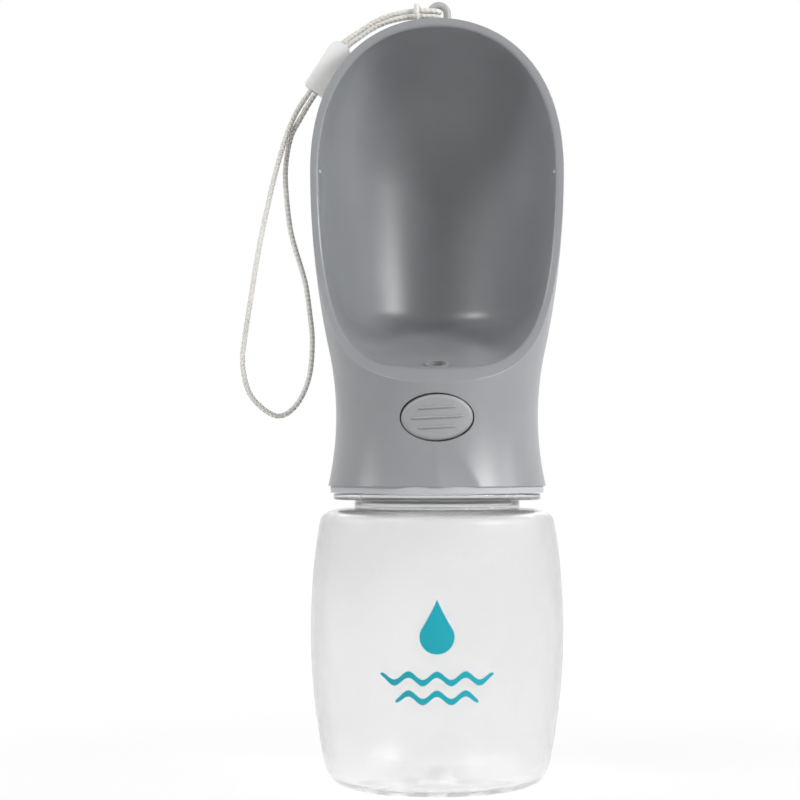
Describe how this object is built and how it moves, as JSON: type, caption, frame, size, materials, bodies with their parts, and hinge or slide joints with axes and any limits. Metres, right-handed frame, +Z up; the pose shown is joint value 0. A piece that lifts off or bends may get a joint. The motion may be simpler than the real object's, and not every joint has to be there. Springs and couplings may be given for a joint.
{
  "type": "dog travel water bottle",
  "caption": "Clear squeeze bottle with a screw-on scoop head: pressing the oval button lets water into the drinking bowl; wrist cord on the crown.",
  "frame": {"origin": "centre of the foot ring at the base of the bottle", "axes": "+Z up along the bottle axis, -Y to the front with the button and the open side of the scoop, +X to the right seen from the front"},
  "size_m": [0.0903, 0.0702, 0.2179],
  "materials": {
    "clear_plastic": "gloss, clear",
    "silicone": "satin silicone",
    "light_grey_plastic": "satin",
    "grey_plastic": "satin",
    "button_grey_plastic": "satin",
    "white_plastic": "satin",
    "black_rubber": "matte",
    "steel": "drawn wire",
    "cord": "braided"
  },
  "bodies": {
    "bottle_body": {"bottle": "clear_plastic"},
    "gasket_body": {"closure_gasket": "silicone"},
    "head": {"head_shell": "grey_plastic", "inner_cap": "light_grey_plastic", "outlet_bush": "silicone", "gland_washer": "white_plastic", "stem_o_ring": "black_rubber", "return_spring": "steel", "barrel_cap": "light_grey_plastic", "barrel_cap_o_ring": "black_rubber", "lanyard_eye": "light_grey_plastic", "wrist_cord": "cord"},
    "button": {"button_cap": "button_grey_plastic", "valve_stem": "white_plastic", "valve_seal": "silicone", "spring_cup": "white_plastic", "stem_clip": "steel"},
    "slider": {"cord_slider": "light_grey_plastic"}
  },
  "joints": [
    {"name": "head_lift", "type": "slide", "parent": "bottle_body", "child": "gasket_body", "axis": [0, 0, 1], "range_m": [0, 0.00751]},
    {"name": "head_unscrew", "type": "hinge", "parent": "gasket_body", "child": "head", "pos_m": [0, 0, 0.0902], "axis": [0, 0, 1], "range_deg": [0, 450]},
    {"name": "button_press", "type": "slide", "parent": "head", "child": "button", "axis": [0, 1, 0], "range_m": [0, 0.003], "stiffness_N_per_m": 500, "springref_m": -0.003, "deforming": ["return_spring"]},
    {"name": "slider_slide", "type": "slide", "parent": "head", "child": "slider", "axis": [-0.5505, 0, -0.8348], "range_m": [0, 0.003]}
  ],
  "couplings": [
    {"joint": "head_lift", "follows": "head_unscrew", "m_per_rad": 0.00095493}
  ]
}
